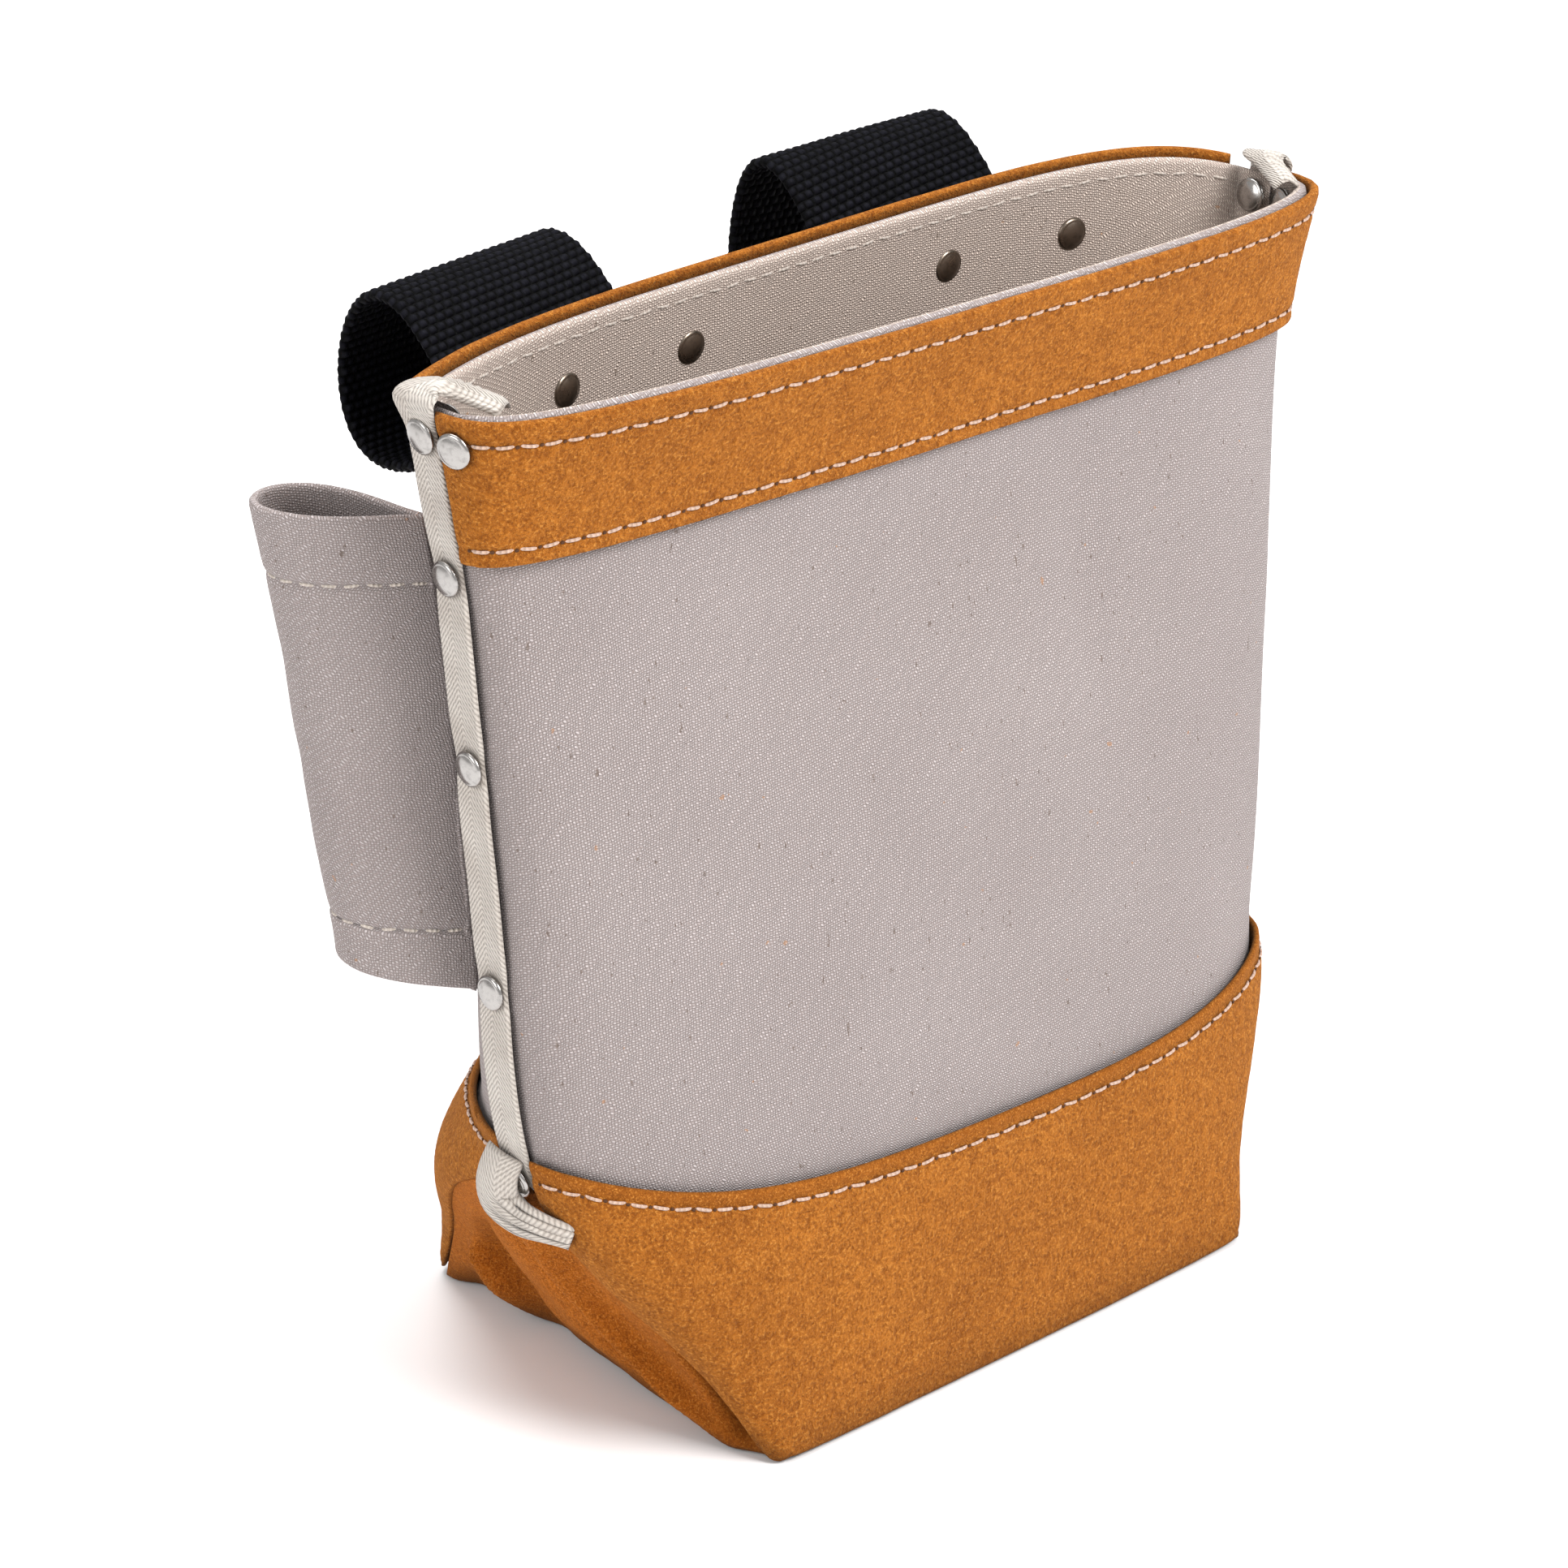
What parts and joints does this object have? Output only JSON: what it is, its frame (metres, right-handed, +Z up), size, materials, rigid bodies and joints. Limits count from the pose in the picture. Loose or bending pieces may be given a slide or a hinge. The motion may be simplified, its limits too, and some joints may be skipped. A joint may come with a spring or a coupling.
{
  "type": "bolt bag",
  "caption": "Open-top canvas bolt bag: flat suede base, suede rim band, bound and riveted side seams, webbing belt loops behind, a canvas sleeve at the left rear corner.",
  "frame": {"origin": "on the ground, under the middle of the suede base", "axes": "+X to the right across the bag, -Y towards the front panel, +Y towards the belt loops and the wearer, +Z up"},
  "size_m": [0.2396, 0.1238, 0.2271],
  "materials": {
    "canvas": "heavy plain-weave natural cotton",
    "suede": "split-leather suede, golden tan",
    "tape": "natural cotton twill",
    "webbing": "coarse ribbed black webbing",
    "nickel": "nickel plated"
  },
  "bodies": {
    "bag": {"front_canvas_panel": "canvas", "back_canvas_panel": "canvas", "base_suede": "suede", "base_canvas": "canvas", "front_lower_suede": "suede", "back_lower_suede": "suede", "front_top_band": "suede", "back_top_band": "suede", "left_gusset_suede": "suede", "left_gusset_canvas": "canvas", "left_binding_tape": "tape", "right_gusset_suede": "suede", "right_gusset_canvas": "canvas", "right_binding_tape": "tape", "belt_loop_tab_left": "webbing", "belt_loop_tab_right": "webbing", "left_tape_rivet_1": "nickel", "left_tape_rivet_2": "nickel", "left_tape_rivet_3": "nickel", "left_tape_rivet_4": "nickel", "left_tape_rivet_5": "nickel", "right_tape_rivet_1": "nickel", "right_tape_rivet_2": "nickel", "right_tape_rivet_3": "nickel", "right_tape_rivet_4": "nickel", "right_tape_rivet_5": "nickel", "left_band_rivet": "nickel", "right_band_rivet": "nickel", "belt_loop_rivet_left_a": "nickel", "belt_loop_rivet_left_b": "nickel", "belt_loop_rivet_right_a": "nickel", "belt_loop_rivet_right_b": "nickel"},
    "left_loop": {"belt_loop_left": "webbing"},
    "right_loop": {"belt_loop_right": "webbing"},
    "sleeve": {"bull_pin_sleeve": "canvas"}
  },
  "joints": [
    {"name": "left_loop_flex", "type": "hinge", "parent": "bag", "child": "left_loop", "pos_m": [-0.0535, 0.0214, 0.1959], "axis": [1, 0, 0], "range_deg": [-20, 14]},
    {"name": "right_loop_flex", "type": "hinge", "parent": "bag", "child": "right_loop", "pos_m": [0.048, 0.0216, 0.1982], "axis": [1, 0, 0], "range_deg": [-20, 14]},
    {"name": "sleeve_flex", "type": "hinge", "parent": "bag", "child": "sleeve", "pos_m": [-0.099, -0.0031, 0.097], "axis": [-0.0572, 0.0423, 0.9975], "range_deg": [-40, 35]}
  ]
}
